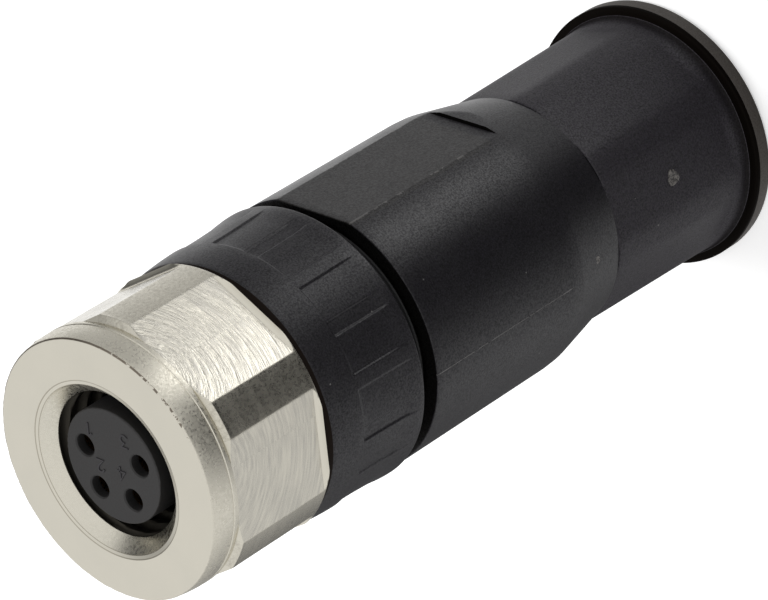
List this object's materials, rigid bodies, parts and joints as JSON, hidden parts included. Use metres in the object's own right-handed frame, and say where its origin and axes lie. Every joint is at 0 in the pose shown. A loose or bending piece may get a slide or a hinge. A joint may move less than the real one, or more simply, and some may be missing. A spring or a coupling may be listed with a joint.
{
  "type": "m8 circular connector",
  "caption": "Round M8 cable socket: brass hexagon coupling nut with grip ring, dark contact insert, black housing with wrench flats, and an eight-sided gland nut at the cable end.",
  "frame": {"origin": "middle of the gland nut flange's rear face, where the part stands", "axes": "+Z out of the mating face; +X through the middle of one wrench flat, in the wide space between contacts 1 and 3"},
  "size_m": [0.0136, 0.0136, 0.0387],
  "materials": {
    "nickel_brass": "satin nickel plating with milled flats",
    "grip_plastic": "fine matte grain",
    "spring_steel": "plain spring steel",
    "seal_rubber": "matte",
    "insert_plastic": "matte",
    "block_plastic": "matte",
    "carrier_plastic": "matte",
    "housing_plastic": "satin",
    "cage_plastic": "natural",
    "gland_plastic": "fine matte grain",
    "gold_contact": "thin gold plating",
    "screw_steel": "plated steel"
  },
  "bodies": {
    "carrier": {"carrier_sleeve": "carrier_plastic", "contact_insert": "insert_plastic", "terminal_block": "block_plastic", "face_seal": "seal_rubber", "socket_contact_1": "gold_contact", "socket_contact_2": "gold_contact", "socket_contact_3": "gold_contact", "socket_contact_4": "gold_contact"},
    "coupling": {"coupling_nut": "nickel_brass", "grip_ring": "grip_plastic", "retaining_ring": "spring_steel"},
    "housing_link": {"housing_seal": "seal_rubber"},
    "housing": {"housing": "housing_plastic", "cable_seal": "seal_rubber"},
    "cage": {"clamping_cage": "cage_plastic"},
    "gland": {"gland_nut": "gland_plastic"},
    "screw_1": {"terminal_screw_1": "screw_steel"},
    "screw_2": {"terminal_screw_2": "screw_steel"},
    "screw_3": {"terminal_screw_3": "screw_steel"},
    "screw_4": {"terminal_screw_4": "screw_steel"}
  },
  "joints": [
    {"name": "nut_turn", "type": "hinge", "parent": "carrier", "child": "coupling", "pos_m": [0, 0, 0.034], "axis": [0, 0, 1], "continuous": true},
    {"name": "housing_travel", "type": "slide", "parent": "carrier", "child": "housing_link", "axis": [0, 0, -1], "range_m": [0, 0.003]},
    {"name": "housing_turn", "type": "hinge", "parent": "housing_link", "child": "housing", "pos_m": [0, 0, 0.022], "axis": [0, 0, -1], "range_deg": [0, 1440]},
    {"name": "gland_travel", "type": "slide", "parent": "housing", "child": "cage", "axis": [0, 0, -1], "range_m": [0, 0.00525]},
    {"name": "gland_turn", "type": "hinge", "parent": "cage", "child": "gland", "pos_m": [0, 0, 0.006], "axis": [0, 0, -1], "range_deg": [0, 2520]},
    {"name": "terminal_screw_1_turn", "type": "hinge", "parent": "carrier", "child": "screw_1", "pos_m": [0.00093, 0.00285, 0.02043], "axis": [0.309, 0.9511, 0], "range_deg": [0, 720]},
    {"name": "terminal_screw_2_turn", "type": "hinge", "parent": "carrier", "child": "screw_2", "pos_m": [-0.00243, 0.00176, 0.02043], "axis": [-0.809, 0.5878, 0], "range_deg": [0, 720]},
    {"name": "terminal_screw_3_turn", "type": "hinge", "parent": "carrier", "child": "screw_3", "pos_m": [0.00093, -0.00285, 0.02043], "axis": [0.309, -0.9511, 0], "range_deg": [0, 720]},
    {"name": "terminal_screw_4_turn", "type": "hinge", "parent": "carrier", "child": "screw_4", "pos_m": [-0.00243, -0.00176, 0.02043], "axis": [-0.809, -0.5878, 0], "range_deg": [0, 720]}
  ],
  "couplings": [
    {"joint": "housing_turn", "follows": "housing_travel", "rad_per_m": 8377.6},
    {"joint": "gland_turn", "follows": "gland_travel", "rad_per_m": 8377.6}
  ]
}
